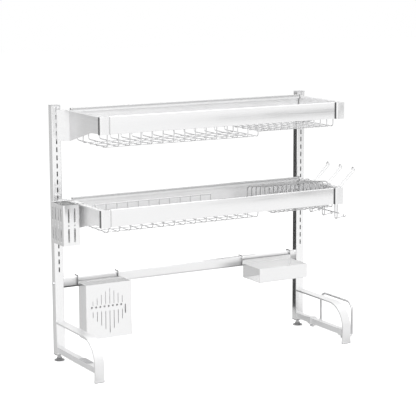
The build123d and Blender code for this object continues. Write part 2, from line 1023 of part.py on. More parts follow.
def make_pegs(top):
    """Make the short pegs at the hairpins' lower ends, and their round ends."""
    upright = hook_wire_line()
    low = top - hairpin_low_drop
    start = upright + hook_wire_size / 2 + weld_gap
    end = start + peg_reach
    with BuildPart() as pegs:
        for index in range(hook_stations):
            line = station_line(index)
            with BuildLine() as path:
                Line((start, line, low), (end, line, low + peg_rise))
            with BuildSketch(Plane(origin=path.line @ 0, z_dir=path.line % 0)) as section:
                Circle(hook_wire_size / 2)
            sweep(section.sketch, path=path.line)
            with Locations((end, line, low + peg_rise)):
                Sphere(peg_ball_radius)
    return pegs


def make_hook_rails(top):
    """Make the two cross wires that join the hairpins, on their outer side."""
    line = hook_wire_line() + hook_wire_size + weld_gap
    first = station_line(hook_stations - 1) - hairpin_gap
    last = column_front - back_hanger + hook_wire_size
    drops = (upper_hook_rail_drop, lower_hook_rail_drop)
    with BuildPart() as rails:
        rods(
            Plane.XZ.offset(-first),
            [(line, top - drop) for drop in drops],
            hook_wire_size,
            -(last - first),
        )
    return rails


def make_over_hooks(top):
    """Make the two wire hooks that carry the cup-hook rack on the bracket's flange."""
    foot = hook_wire_line()
    outside = flange_line()
    inside = rack_right - web_inset - bracket_sheet - hang_gap - hook_wire_size / 2
    crest = top + hang_gap + hook_wire_size / 2
    with BuildPart() as hooks:
        for place in (back_hanger, front_hanger):
            line = column_front - place
            bent_rod(
                [
                    (foot, line, top - hanger_foot_drop),
                    (foot, line, top - jog_low_drop),
                    (outside, line, top - jog_high_drop),
                    (outside, line, crest),
                    (inside, line, crest),
                    (inside, line, top - over_hook_grip),
                ],
                hook_wire_size / 2 + weld_bite,
                hook_wire_size,
            )
    return hooks


def make_bar_hooks(places, wall_back):
    """Make the hook plates that carry a holder on the bar, at given plate and foot starts."""
    bar_front = column_line - bar_thickness / 2 - hang_gap
    bar_back = column_line + bar_thickness / 2 + hang_gap
    crest = bar_centre_height + bar_height / 2 + hang_gap
    low = crest - bar_hook_drop
    profile = [
        (wall_back, low),
        (bar_front, low),
        (bar_front, crest),
        (bar_back, crest),
        (bar_back, crest - bar_hook_grip),
        (bar_back + bar_hook_head, crest - bar_hook_grip),
        (bar_back + bar_hook_head, crest + bar_hook_head),
        (wall_back, crest + bar_hook_head),
    ]
    with BuildPart() as hooks:
        for plate, foot in places:
            prism_along_x(profile, plate, strap_sheet)
            block(
                (foot, wall_back, low),
                (foot + bar_hook_foot, wall_back + strap_sheet, low + bar_hook_foot_height),
            )
    return hooks


def make_knife_box():
    """Make the knife and chopstick box, with a raised back and slots in a diamond outline."""
    left = rack_left + knife_box_left
    front = column_front - knife_box_front
    back = column_front - knife_box_back
    middle = (left + knife_box_length / 2, (front + back) / 2)
    top = knife_box_bottom + knife_box_height
    half_height = knife_box_bottom + knife_box_height / 2
    dot_height = half_height + knife_dot_rise
    middle_slot = (knife_slots - 1) / 2
    first_line = middle[0] + knife_slot_shift - middle_slot * knife_slot_pitch
    last_line = middle[0] + knife_slot_shift + middle_slot * knife_slot_pitch
    longest_low = knife_box_height / 2 - knife_slot_margin
    longest_high = longest_low - knife_dot_rise - knife_dot_radius - knife_dot_gap
    with BuildPart() as box:
        with BuildSketch(Plane.XY.offset(knife_box_bottom)) as plan:
            with Locations(middle):
                RectangleRounded(knife_box_length, back - front, knife_box_corner)
                RectangleRounded(
                    knife_box_length - 2 * box_sheet,
                    back - front - 2 * box_sheet,
                    knife_box_corner - box_sheet,
                    mode=Mode.SUBTRACT,
                )
        extrude(plan.sketch, amount=knife_box_height)
        block(
            (left + knife_box_corner, back - box_sheet, top),
            (left + knife_box_length - knife_box_corner, back, top + knife_back_rise),
        )
        with BuildSketch(Plane.XZ.offset(-(front - cut_overrun))) as slots:
            for index in range(knife_slots - 1):
                line = first_line + index * knife_slot_pitch
                away = abs(index - middle_slot) / middle_slot
                share = 1 - away * (1 - knife_slot_least)
                low_arm = longest_low * share
                high_arm = longest_high * share
                high_start = dot_height + knife_dot_radius + knife_dot_gap
                with Locations((line - knife_dot_aside, dot_height)):
                    Circle(knife_dot_radius)
                with Locations((line, half_height - low_arm / 2)):
                    SlotOverall(low_arm, knife_slot_width, rotation=90)
                with Locations((line, high_start + high_arm / 2)):
                    SlotOverall(high_arm, knife_slot_width, rotation=90)
            with Locations((last_line - knife_dot_aside, half_height)):
                SlotOverall(knife_end_slot_length, knife_end_slot_width, rotation=90)
        extrude(slots.sketch, amount=-2 * cut_overrun, mode=Mode.SUBTRACT)
    return box


def make_knife_tray():
    """Make the plastic drip tray pushed into the knife box's open bottom."""
    left = rack_left + knife_box_left + box_sheet
    front = column_front - knife_box_front + box_sheet
    back = column_front - knife_box_back - box_sheet
    length = knife_box_length - 2 * box_sheet
    middle = (left + length / 2, (front + back) / 2)
    with BuildPart() as tray:
        with BuildSketch(Plane.XY.offset(knife_box_bottom)) as plan:
            with Locations(middle):
                RectangleRounded(length, back - front, knife_box_corner - box_sheet)
        extrude(plan.sketch, amount=knife_tray_height)
        with BuildSketch(Plane.XY.offset(knife_box_bottom + knife_tray_wall)) as hollow:
            with Locations(middle):
                RectangleRounded(
                    length - 2 * knife_tray_wall,
                    back - front - 2 * knife_tray_wall,
                    knife_box_corner - box_sheet - knife_tray_wall,
                )
        extrude(hollow.sketch, amount=knife_tray_height, mode=Mode.SUBTRACT)
    return tray


def make_caddy():
    """Make the sponge caddy, a folded sheet with a gap under each end's slope."""
    left = rack_left + caddy_left
    right = left + caddy_length
    front = column_front - caddy_front
    back = column_front - caddy_back
    front_top = caddy_bottom + caddy_front_height
    back_top = caddy_bottom + caddy_back_height
    end_low = front_top - caddy_end_front
    inside_front = front + box_sheet
    inside_back = back - box_sheet
    end_plate = [
        (inside_back, caddy_bottom + box_sheet),
        (inside_back, front_top),
        (inside_front, front_top),
        (inside_front, end_low),
    ]
    with BuildPart() as caddy:
        block((left, front, caddy_bottom), (right, back, caddy_bottom + box_sheet))
        block((left, inside_back, caddy_bottom), (right, back, back_top))
        block((left, front, caddy_bottom), (right, inside_front, front_top))
        fillet(
            caddy.edges().filter_by(Axis.X).group_by(Axis.Y)[0].group_by(Axis.Z)[0],
            radius=box_sheet * 2,
        )
        for start in (left, right - box_sheet):
            prism_along_x(end_plate, start, box_sheet)
        with BuildSketch(Plane.XY.offset(caddy_bottom)) as drains:
            with Locations(((left + right) / 2, (front + back) / 2)):
                with GridLocations(
                    caddy_drain_pitch, caddy_drain_pitch, caddy_drain_columns, caddy_drain_rows
                ):
                    Circle(caddy_drain_radius)
        extrude(drains.sketch, amount=box_sheet, mode=Mode.SUBTRACT)
    return caddy


def make_stop():
    """Make the thin rubber stop that laps the left rail's top and inner side."""
    side = left_column_line + rail_width / 2
    front = column_front - stop_front - stop_length
    back = column_front - stop_front
    top = rail_underside + rail_height
    with BuildPart() as stop:
        block(
            (side - rail_width, front, top),
            (side + stop_thickness, back, top + stop_thickness),
        )
        block(
            (side, front, top - stop_lap),
            (side + stop_thickness, back, top),
        )
        corners = stop.edges().filter_by(Axis.Y).group_by(Axis.Z)[-1]
        fillet(corners, radius=stop_thickness / 2)
    return stop


def make_clamps():
    """Make the two collars round the right rail, with tabs under them for the hoop."""
    middle = rack_right - column_width / 2
    low = rail_underside
    high = rail_underside + rail_height
    outer = rail_width / 2 + clamp_wall
    with BuildPart() as clamps:
        for place in (hoop_back, hoop_front):
            line = column_front - place
            near = line - clamp_length / 2
            far = line + clamp_length / 2
            block((middle - outer, near, low - clamp_wall), (middle + outer, far, high + clamp_wall))
        fillet(clamps.edges().filter_by(Axis.Y), radius=clamp_wall / 2)
        for place in (hoop_back, hoop_front):
            line = column_front - place
            near = line - clamp_length / 2
            far = line + clamp_length / 2
            block(
                (middle - rail_width / 2, near, low),
                (middle + rail_width / 2, far, high),
                mode=Mode.SUBTRACT,
            )
            block(
                (middle - clamp_wall, near, low - clamp_wall - clamp_tab_drop),
                (middle + clamp_wall, far, low - clamp_wall),
            )
    return clamps


def make_clamp_screws():
    """Make the screws through the clamps' tabs into the hoop's ends."""
    middle = rack_right - column_width / 2
    height = rail_underside - clamp_wall - clamp_tab_drop / 2
    places = [(column_front - place, height) for place in (hoop_back, hoop_front)]
    with BuildPart() as screws:
        rods(
            Plane.YZ.offset(middle - clamp_wall),
            places,
            2 * clamp_screw_head_radius,
            -clamp_screw_head_height,
        )
    return screws


def make_hoop():
    """Make the towel hoop, one bent rod outside the right foot."""
    plane_line = rack_right + hoop_plane_reach
    tab_face = rack_right - column_width / 2 + clamp_wall
    low = rail_underside - clamp_wall - clamp_tab_drop / 2
    back = column_front - hoop_back
    front = column_front - hoop_front
    with BuildPart() as hoop:
        bent_rod(
            [
                (tab_face, back, low),
                (plane_line, back, low),
                (plane_line, back, hoop_top),
                (plane_line, front, hoop_top),
                (plane_line, front, low),
                (tab_face, front, low),
            ],
            [hoop_foot_bend, hoop_corner, hoop_corner, hoop_foot_bend],
            hoop_rod,
        )
    return hoop


def save_pair(builder, name):
    """Write a left piece and its mirror image for the right."""
    save(builder, f"left_{name}")
    with BuildPart() as right:
        mirror(builder.part, about=Plane.YZ)
    save(right, f"right_{name}")


def save_both(builder, name):
    """Write a left piece and its mirror image as one node."""
    with BuildPart() as both:
        add(builder.part)
        mirror(builder.part, about=Plane.YZ)
    save(both, name)


def save_basket(name, pieces):
    """Write a basket's walls, floor and ends as its three nodes."""
    for piece, kind in zip(pieces, ("walls", "floor", "ends")):
        save(piece, f"{name}_{kind}")


def make_frame():
    """Make and write everything that stands still."""
    save_pair(make_column(), "column")
    save_pair(make_column_cap(), "column_cap")
    save_pair(make_foot_arch(), "foot_arch")
    save_pair(make_leg_pad(), "leg_pad")
    save_pair(make_foot_rail(), "foot_rail")
    save_pair(make_foot_plug(), "foot_plug")
    save_pair(make_foot_base(), "foot_base")
    save_pair(make_foot_stem(), "foot_stem")
    save(make_bar(), "lower_bar")
    save_both(make_bar_plug(), "bar_plugs")
    save_both(make_bar_bolt(), "bar_bolts")
    save(make_stop(), "sink_edge_stop")
    save(make_hoop(), "towel_hoop")
    save(make_clamps(), "hoop_clamps")
    save(make_clamp_screws(), "clamp_screws")


def make_shelf_frame(prefix, top):
    """Make and write one shelf's brackets, panels, caps and rivets."""
    bracket = make_bracket(top)
    save(bracket, f"{prefix}_left_bracket")
    with BuildPart() as right_bracket:
        mirror(bracket.part, about=Plane.YZ)
    save(right_bracket, f"{prefix}_right_bracket")
    save_both(make_corner_cap(top), f"{prefix}_corner_caps")
    save(make_front_panel(top), f"{prefix}_front_panel")
    save(make_back_panel(top), f"{prefix}_back_panel")
    save(make_rivets(top), f"{prefix}_rivets")


def make_baskets():
    """Make and write the four wire baskets and racks."""
    top_ledge = top_shelf_height - panel_height + panel_sheet
    middle_ledge = middle_shelf_height - panel_height + panel_sheet
    top_left = make_basket(
        left_first_wire, left_last_wire, left_basket_wires, top_ledge, top_left_drop, basket_bend, 3
    )
    save_basket("top_left_basket", top_left)
    top_right = make_basket(
        right_first_wire, right_last_wire, top_right_wires, top_ledge, top_right_drop, basket_bend, 3
    )
    save_basket("top_right_basket", top_right)
    bowl_rack = make_basket(
        left_first_wire, left_last_wire, left_basket_wires, middle_ledge, bowl_rack_drop, wide_bend, 3
    )
    save_basket("bowl_rack", bowl_rack)
    fence = make_fence(
        left_first_wire,
        left_last_wire,
        left_basket_wires,
        middle_shelf_height,
        middle_shelf_height - panel_height - bowl_rack_drop,
    )
    save(fence, "bowl_rack_fence")
    plate_rack = make_basket(
        plate_first_wire, right_last_wire, plate_rack_wires, middle_ledge, plate_rack_drop, tight_bend, 3
    )
    save_basket("plate_rack", plate_rack)
    dividers = make_dividers(
        plate_first_wire,
        plate_rack_wires,
        plate_rack_pitch,
        middle_shelf_height,
        middle_shelf_height - panel_height - plate_rack_drop,
    )
    save(dividers, "plate_rack_dividers")


def make_holders():
    """Make and write the holders that hang on the shelf and on the bar."""
    top = middle_shelf_height
    save(make_cage(top), "cutlery_cage")
    save(make_cage_hooks(top), "cutlery_cage_hooks")
    save(make_hairpins(top), "cup_hooks")
    save(make_pegs(top), "cup_hook_pegs")
    save(make_hook_rails(top), "cup_hook_rails")
    save(make_over_hooks(top), "cup_hook_hangers")
    knife_left = rack_left + knife_box_left
    knife_right = knife_left + knife_box_length
    knife_last = knife_right - knife_hook_inset
    knife_hooks = make_bar_hooks(
        ((knife_left, knife_left), (knife_last, knife_last)), column_front - knife_box_back
    )
    save(make_knife_box(), "knife_box")
    save(knife_hooks, "knife_box_hooks")
    save(make_knife_tray(), "knife_box_tray")
    first_plate = rack_left + caddy_left - caddy_hook_outset
    hook_end = rack_left + caddy_left + caddy_length + caddy_hook_outset
    caddy_hooks = make_bar_hooks(
        ((first_plate, first_plate), (hook_end - strap_sheet, hook_end - bar_hook_foot)),
        column_front - caddy_back,
    )
    save(make_caddy(), "sponge_caddy")
    save(caddy_hooks, "sponge_caddy_hooks")


os.makedirs("parts", exist_ok=True)
make_frame()
make_shelf_frame("top_shelf", top_shelf_height)
make_shelf_frame("middle_shelf", middle_shelf_height)
make_baskets()
make_holders()
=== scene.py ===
"""Dresses the over-sink dish rack: folded panels, welds, rolled rims, finishes and studio."""

from __future__ import annotations

import logging
import math
from collections.abc import Callable
from dataclasses import dataclass
from enum import Enum

import bmesh
import bpy
from mathutils import Matrix, Vector


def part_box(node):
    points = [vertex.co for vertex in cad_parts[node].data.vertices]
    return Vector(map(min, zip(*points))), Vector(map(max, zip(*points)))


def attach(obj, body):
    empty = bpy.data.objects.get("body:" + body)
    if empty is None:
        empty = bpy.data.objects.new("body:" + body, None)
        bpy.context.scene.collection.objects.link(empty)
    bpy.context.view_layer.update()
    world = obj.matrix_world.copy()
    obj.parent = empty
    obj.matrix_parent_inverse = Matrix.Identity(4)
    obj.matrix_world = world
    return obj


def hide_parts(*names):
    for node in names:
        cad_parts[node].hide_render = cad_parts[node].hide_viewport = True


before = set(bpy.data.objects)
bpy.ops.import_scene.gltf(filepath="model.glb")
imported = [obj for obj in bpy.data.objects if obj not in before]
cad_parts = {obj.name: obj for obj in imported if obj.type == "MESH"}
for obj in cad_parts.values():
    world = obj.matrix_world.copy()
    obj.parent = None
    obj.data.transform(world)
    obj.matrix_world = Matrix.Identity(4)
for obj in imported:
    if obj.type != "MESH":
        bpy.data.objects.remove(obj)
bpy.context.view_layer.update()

logging.basicConfig(level=logging.INFO, format="%(message)s")
log = logging.getLogger("dish_rack")

Span = tuple[float, float]
Point = tuple[float, float, float]
Colour = tuple[float, float, float]
Socket = bpy.types.NodeSocket
Feed = Socket | bpy.types.Material | float | tuple[float, ...]

WHITE = (1.0, 1.0, 1.0, 1.0)
CREASE = math.radians(35)


class BrushAxis(Enum):
    """The way a sheet's or tube's brushing runs, as the grain's scale per metre."""

    ALONG_X = (5.0, 420.0, 420.0)
    ALONG_Y = (420.0, 5.0, 420.0)
    ALONG_Z = (420.0, 420.0, 5.0)


class Slot(Enum):
    """The record's material slot names; no piece here takes them."""

    STEEL = "brushed_steel"
    WIRE = "polished_wire"


class Mixed(Enum):
    """What a Mix node mixes: its data type, its two inputs' numbers and its output's."""

    NUMBERS = ("FLOAT", 2, 3, 0)
    COLOURS = ("RGBA", 6, 7, 2)


class Graph:
    """A node tree under construction."""

    def __init__(self, tree: bpy.types.NodeTree) -> None:
        """Keeps the tree that the calls add to."""
        self.tree = tree

    def feed(self, socket: Socket, source: Feed) -> None:
        """Links a source to an input, or sets the input's own value.

        Args:
            socket: The input.
            source: An output socket, or a plain value.
        """
        if isinstance(source, Socket):
            self.tree.links.new(source, socket)
        else:
            socket.default_value = source

    def add(
        self, kind: str, *firsts: Feed, settings: dict | None = None, **named: Feed
    ) -> bpy.types.Node:
        """Adds one node and feeds its inputs.

        Args:
            kind: The node's type name.
            firsts: Sources of its first inputs, in order.
            settings: Properties of the node itself.
            named: Sources by input name, with underscores for spaces.

        Returns:
            The new node.
        """
        node = self.tree.nodes.new(kind)
        for name, value in (settings or {}).items():
            setattr(node, name, value)
        for place, source in enumerate(firsts):
            self.feed(node.inputs[place], source)
        for name, source in named.items():
            self.feed(node.inputs[name.replace("_", " ")], source)
        return node

    def number(self, operation: str, *terms: Feed) -> Socket:
        """Gives the output of a new Math node."""
        return self.add("ShaderNodeMath", *terms, settings={"operation": operation}).outputs[0]

    def vector(self, operation: str, *terms: Feed) -> Socket:
        """Gives the output of a new Vector Math node."""
        settings = {"operation": operation}
        return self.add("ShaderNodeVectorMath", *terms, settings=settings).outputs[0]

    def noise(self, place: Socket, **values: Feed) -> Socket:
        """Gives the output of a new noise texture on the given coordinates."""
        return self.add("ShaderNodeTexNoise", Vector=place, **values).outputs["Fac"]

    def ramp(self, value: Socket, clear: float, full: float, height: float = 1.0) -> Socket:
        """Adds a smooth step.

        Args:
            value: What the step follows.
            clear: The value at which the step is 0.
            full: The value at which it has its full height.
            height: The full height.

        Returns:
            The step's output.
        """
        limits = {"From_Min": clear, "From_Max": full, "To_Max": height}
        settings = {"interpolation_type": "SMOOTHSTEP"}
        step = self.add("ShaderNodeMapRange", value, settings=settings, **limits)
        return step.outputs["Result"]

    def mix(self, what: Mixed, share: Feed, first: Feed, second: Feed) -> Socket:
        """Adds a mix of two numbers or colours.

        Args:
            what: Numbers or colours.
            share: The second one's share.
            first: The first one.
            second: The second one.

        Returns:
            The mix.
        """
        data_type, first_place, second_place, output = what.value
        node = self.add("ShaderNodeMix", share, settings={"data_type": data_type})
        self.feed(node.inputs[first_place], first)
        self.feed(node.inputs[second_place], second)
        return node.outputs[output]

    def here(self) -> Socket:
        """Gives Object coordinates."""
        return self.add("ShaderNodeTexCoord").outputs["Object"]

    def split(self, vector: Socket) -> bpy.types.NodeOutputs:
        """Gives a vector's X, Y and Z outputs."""
        return self.add("ShaderNodeSeparateXYZ", vector).outputs

    def end(self, shader: bpy.types.Node, kind: str = "ShaderNodeOutputMaterial") -> None:
        """Ends the tree with a shader's output."""
        self.add(kind, Surface=shader.outputs[0])


def bare_graph(owner: bpy.types.Material | bpy.types.World) -> Graph:
    """Empties a material's or a world's tree.

    Args:
        owner: The material or world.

    Returns:
        Its graph, with no nodes.
    """
    owner.use_nodes = True
    owner.node_tree.nodes.clear()
    return Graph(owner.node_tree)


class SurfaceGroups:
    """The shader groups that several finishes share, each built once."""

    INPUTS: dict[str, str] = {
        "Vector": "NodeSocketVector",
        "Light": "NodeSocketColor",
        "Dark": "NodeSocketColor",
        "Smooth": "NodeSocketFloat",
        "Rough": "NodeSocketFloat",
    }
    OUTPUTS: dict[str, str] = {
        "Color": "NodeSocketColor",
        "Roughness": "NodeSocketFloat",
        "Height": "NodeSocketFloat",
    }
    SPREAD: Span = (0.35, 0.65)
    DRIFT_SHARE = 0.3

    def __init__(self) -> None:
        """Builds the groups."""
        self.brushed = self._group(
            "brushed_grain", {"Stretch": "NodeSocketVector"}, self._streaks
        )
        self.handled = self._group(
            "handling_marks",
            {"Patch Scale": "NodeSocketFloat", "Grain Scale": "NodeSocketFloat"},
            self._patches,
        )

    def _group(
        self,
        name: str,
        own: dict[str, str],
        pattern: Callable[[Graph, bpy.types.NodeOutputs], tuple[Socket, Socket]],
    ) -> bpy.types.NodeTree:
        """Builds a group that lays a pattern between two tones and two roughnesses.

        Args:
            name: The group's name.
            own: Socket types of the inputs that only this group has, by name.
            pattern: Makes the pattern and its height from the group's inputs.

        Returns:
            The group, with Color, Roughness and Height outputs.
        """
        tree = bpy.data.node_groups.new(name, "ShaderNodeTree")
        for way, sockets in (("INPUT", {**self.INPUTS, **own}), ("OUTPUT", self.OUTPUTS)):
            for label, kind in sockets.items():
                tree.interface.new_socket(label, in_out=way, socket_type=kind)
        g = Graph(tree)
        given = g.add("NodeGroupInput").outputs
        drawn, height = pattern(g, given)
        least, most = self.SPREAD
        spread = g.add("ShaderNodeMapRange", drawn, From_Min=least, From_Max=most)
        share = spread.outputs["Result"]
        tone = g.mix(Mixed.COLOURS, share, given["Dark"], given["Light"])
        rough = g.mix(Mixed.NUMBERS, share, given["Smooth"], given["Rough"])
        g.add("NodeGroupOutput", Color=tone, Roughness=rough, Height=height)
        return tree

    def _streaks(self, g: Graph, given: bpy.types.NodeOutputs) -> tuple[Socket, Socket]:
        """Draws long fine streaks with a slower drift of tone.

        Args:
            g: The group's graph.
            given: The group's inputs.

        Returns:
            The pattern and its height.
        """
        stretched = g.vector("MULTIPLY", given["Vector"], given["Stretch"])
        streaks = g.noise(stretched, Scale=1.0, Detail=4.0, Roughness=0.65)
        drift = g.noise(given["Vector"], Scale=9.0, Detail=1.0, Roughness=0.4)
        lowered = g.number("MULTIPLY", drift, self.DRIFT_SHARE)
        drawn = g.number("MULTIPLY_ADD", streaks, 1.0 - self.DRIFT_SHARE, lowered)
        return drawn, streaks

    @staticmethod
    def _patches(g: Graph, given: bpy.types.NodeOutputs) -> tuple[Socket, Socket]:
        """Draws soft patches, as handling and moulding leave, and a fine grain.

        Args:
            g: The group's graph.
            given: The group's inputs.

        Returns:
            The pattern and its height.
        """
        place = given["Vector"]
        patches = g.noise(place, Scale=given["Patch Scale"], Detail=2.0, Roughness=0.5)
        grain = g.noise(place, Scale=given["Grain Scale"], Detail=3.0, Roughness=0.7)
        return patches, grain


@dataclass(frozen=True, kw_only=True)
class Finish:
    """What every finish has: two tones, two roughnesses, its metal and its grain."""

    name: str
    light: Colour
    dark: Colour
    smooth: float
    rough: float
    metallic: float = 0.0
    bump: float = 0.05
    grain_depth: float = 0.0001

    def build(self, groups: SurfaceGroups) -> bpy.types.Material:
        """Makes the material.

        Args:
            groups: The shared shader groups.

        Returns:
            The material.
        """
        material = bpy.data.materials.new(self.name)
        g = bare_graph(material)
        group, own = self._pattern(groups)
        surface = g.add(
            "ShaderNodeGroup",
            settings={"node_tree": group},
            Vector=g.here(),
            Light=(*self.light, 1.0),
            Dark=(*self.dark, 1.0),
            Smooth=self.smooth,
            Rough=self.rough,
            **own,
        ).outputs
        colour, metal = self._mark(g, surface["Color"])
        grain = g.add(
            "ShaderNodeBump",
            Strength=self.bump,
            Distance=self.grain_depth,
            Height=surface["Height"],
        )
        shader = g.add(
            "ShaderNodeBsdfPrincipled",
            Base_Color=colour,
            Metallic=metal,
            Roughness=surface["Roughness"],
            Normal=grain.outputs["Normal"],
        )
        g.end(shader)
        return material

    def _pattern(self, groups: SurfaceGroups) -> tuple[bpy.types.NodeTree, dict[str, Feed]]:
        """Gives the shared group of this kind of finish, and that group's own inputs."""
        raise NotImplementedError(self.name)

    def _mark(self, g: Graph, colour: Socket) -> tuple[Socket, Feed]:
        """Gives the colour and the metal; a marked finish adds its marks here."""
        return colour, self.metallic


@dataclass(frozen=True, kw_only=True)
class BrushedSteel(Finish):
    """Stainless sheet or tube, brushed one way."""

    light: Colour = (0.95, 0.95, 0.953)
    dark: Colour = (0.91, 0.91, 0.914)
    smooth: float = 0.14
    rough: float = 0.26
    metallic: float = 1.0
    bump: float = 0.025
    grain_depth: float = 0.0002
    axis: BrushAxis = BrushAxis.ALONG_X

    def _pattern(self, groups: SurfaceGroups) -> tuple[bpy.types.NodeTree, dict[str, Feed]]:
        """Gives the brushed group and the way the brushing runs."""
        return groups.brushed, {"Stretch": self.axis.value}


@dataclass(frozen=True, kw_only=True)
class InsideLitSteel(BrushedSteel):
    """Brushed sheet of an open box, with painted light inside: a whiter, nearly non-metal copy
    of the sheet.
    """

    box_node: str
    skin: float = 0.0004
    # colour and metal of the painted light inside the box
    painted_inside_light: Colour = (0.97, 0.97, 0.97)
    painted_inside_light_metal: float = 0.1

    def _mark(self, g: Graph, colour: Socket) -> tuple[Socket, Feed]:
        """Paints light on whatever lies deeper in the box than its outer skin.

        Args:
            g: The material's graph.
            colour: The sheet's own colour.

        Returns:
            The colour and the metal.
        """
        low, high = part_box(self.box_node)
        middle = tuple((a + b) / 2 for a, b in zip(low, high))
        reach = tuple((b - a) / 2 - self.skin for a, b in zip(low, high))
        away = g.vector("ABSOLUTE", g.vector("SUBTRACT", g.here(), middle))
        depth = g.split(g.vector("SUBTRACT", reach, away))
        least = g.number("MINIMUM", g.number("MINIMUM", depth["X"], depth["Y"]), depth["Z"])
        # painted light: deeper than the skin the sheet turns white and nearly non-metal
        limits = {"From_Max": self.skin / 2, "To_Min": 1.0, "To_Max": self.painted_inside_light_metal}
        metal = g.add("ShaderNodeMapRange", least, **limits).outputs["Result"]
        return g.mix(Mixed.COLOURS, metal, (*self.painted_inside_light, 1.0), colour), metal


@dataclass(frozen=True, kw_only=True)
class ShadowedSheet(BrushedSteel):
    """Panel sheet with painted shadow where it slips under a corner cap, and a painted shadow
    line along its rim.
    """

    light: Colour = (0.965, 0.965, 0.968)
    dark: Colour = (0.93, 0.93, 0.934)
    # painted shadow at the panel's joint: its colour, and the x where it starts and where it is
    # full
    joint_shadow: Colour
    joint_shadow_start: float
    joint_shadow_end: float
    right_only: bool = False
    # heights of the painted shadow lines along the rims, with their fade and share
    rims: tuple[float, ...] = ()
    rim_shadow_fade: Span = (0.009, 0.0045)
    rim_shadow_share: float = 0.5

    def _mark(self, g: Graph, colour: Socket) -> tuple[Socket, Feed]:
        """Paints the shadows at the joints and along the rims.

        Args:
            g: The material's graph.
            colour: The sheet's own colour.

        Returns:
            The colour and the metal.
        """
        place = g.split(g.here())
        aside = place["X"] if self.right_only else g.number("ABSOLUTE", place["X"])
        # painted shadow at the joint
        mark = g.ramp(aside, self.joint_shadow_start, self.joint_shadow_end)
        # painted shadow line along each rim
        for rim in self.rims:
            gap = g.number("ABSOLUTE", g.number("SUBTRACT", place["Z"], rim))
            line = g.ramp(gap, *self.rim_shadow_fade, self.rim_shadow_share)
            mark = g.number("MAXIMUM", mark, line)
        return g.mix(Mixed.COLOURS, mark, colour, (*self.joint_shadow, 1.0)), self.metallic


@dataclass(frozen=True)
class BarShade:
    """A painted shade on the bar's face: the x and the z at which it is clear, then full."""

    along: Span
    down: Span
    share: float


@dataclass(frozen=True, kw_only=True)
class ShadedBar(BrushedSteel):
    """Satin bar with painted shade that darkens its face towards its foot in places."""

    shades: tuple[BarShade, ...]
    shade: Colour = (0.06, 0.06, 0.062)

    def _mark(self, g: Graph, colour: Socket) -> tuple[Socket, Feed]:
        """Lays the shades over each other.

        Args:
            g: The material's graph.
            colour: The bar's own colour.

        Returns:
            The colour and the metal.
        """
        place = g.split(g.here())
        for shade in self.shades:
            along = g.ramp(place["X"], *shade.along)
            down = g.ramp(place["Z"], *shade.down, shade.share)
            both = g.number("MULTIPLY", along, down)
            colour = g.mix(Mixed.COLOURS, both, colour, (*self.shade, 1.0))
        return colour, self.metallic


@dataclass(frozen=True, kw_only=True)
class PlainFinish(Finish):
    """Wire, weld or plastic with soft patches and a fine grain."""

    patch_scale: float = 14.0
    grain_scale: float = 900.0

    def _pattern(self, groups: SurfaceGroups) -> tuple[bpy.types.NodeTree, dict[str, Feed]]:
        """Gives the handled group and its two scales."""
        own = {"Patch_Scale": self.patch_scale, "Grain_Scale": self.grain_scale}
        return groups.handled, own


@dataclass(frozen=True, kw_only=True)
class FlankedFinish(PlainFinish):
    """Polished fitting with painted dark reflection on its faces to the left and right."""

    light: Colour = (0.95, 0.95, 0.953)
    dark: Colour = (0.9215, 0.9215, 0.92441)
    # colour of the painted dark reflection on the flanks
    painted_flank_reflection: Colour = (0.2, 0.2, 0.204)
    smooth: float = 0.2
    rough: float = 0.3
    metallic: float = 1.0
    bump: float = 0.03
    patch_scale: float = 30.0
    grain_scale: float = 700.0
    facing: Span = (0.9, 0.99)

    def _mark(self, g: Graph, colour: Socket) -> tuple[Socket, Feed]:
        """Paints dark reflection on the flanks.

        Args:
            g: The material's graph.
            colour: The fitting's own colour.

        Returns:
            The colour and the metal.
        """
        normal = g.split(g.add("ShaderNodeNewGeometry").outputs["True Normal"])
        # painted dark reflection on faces that point along x
        edge = g.ramp(g.number("ABSOLUTE", normal["X"]), *self.facing)
        return g.mix(Mixed.COLOURS, edge, colour, (*self.painted_flank_reflection, 1.0)), self.metallic


@dataclass(frozen=True, kw_only=True)
class DarkBottomFinish(PlainFinish):
    """Milky moulding, dark at its very bottom."""

    light: Colour = (0.84, 0.84, 0.845)
    dark: Colour = (0.78, 0.78, 0.785)
    bottom_tone: Colour = (0.05, 0.05, 0.052)
    smooth: float = 0.35
    rough: float = 0.5
    patch_scale: float = 40.0
    bottom_tone_fade: Span = (0.0014, 0.00112)

    def _mark(self, g: Graph, colour: Socket) -> tuple[Socket, Feed]:
        """Darkens the lowest part, and gives the colour and the metal."""
        below = g.ramp(g.split(g.here())["Z"], *self.bottom_tone_fade)
        return g.mix(Mixed.COLOURS, below, colour, (*self.bottom_tone, 1.0)), self.metallic


@dataclass(frozen=True)
class RackSizes:
    """The rack's own sizes in metres, as the frame has them."""

    web_inner: float = 0.4225
    panel_front: float = -0.145
    back_face: float = 0.096
    sheet: float = 0.0012
    hem: float = 0.008
    front_hem_drop: float = 0.010
    back_hem_drop: float = 0.013
    ledge: float = 0.0125
    panel_height: float = 0.0535
    back_rise: float = 0.006
    top_shelf: float = 0.807
    middle_shelf: float = 0.5265


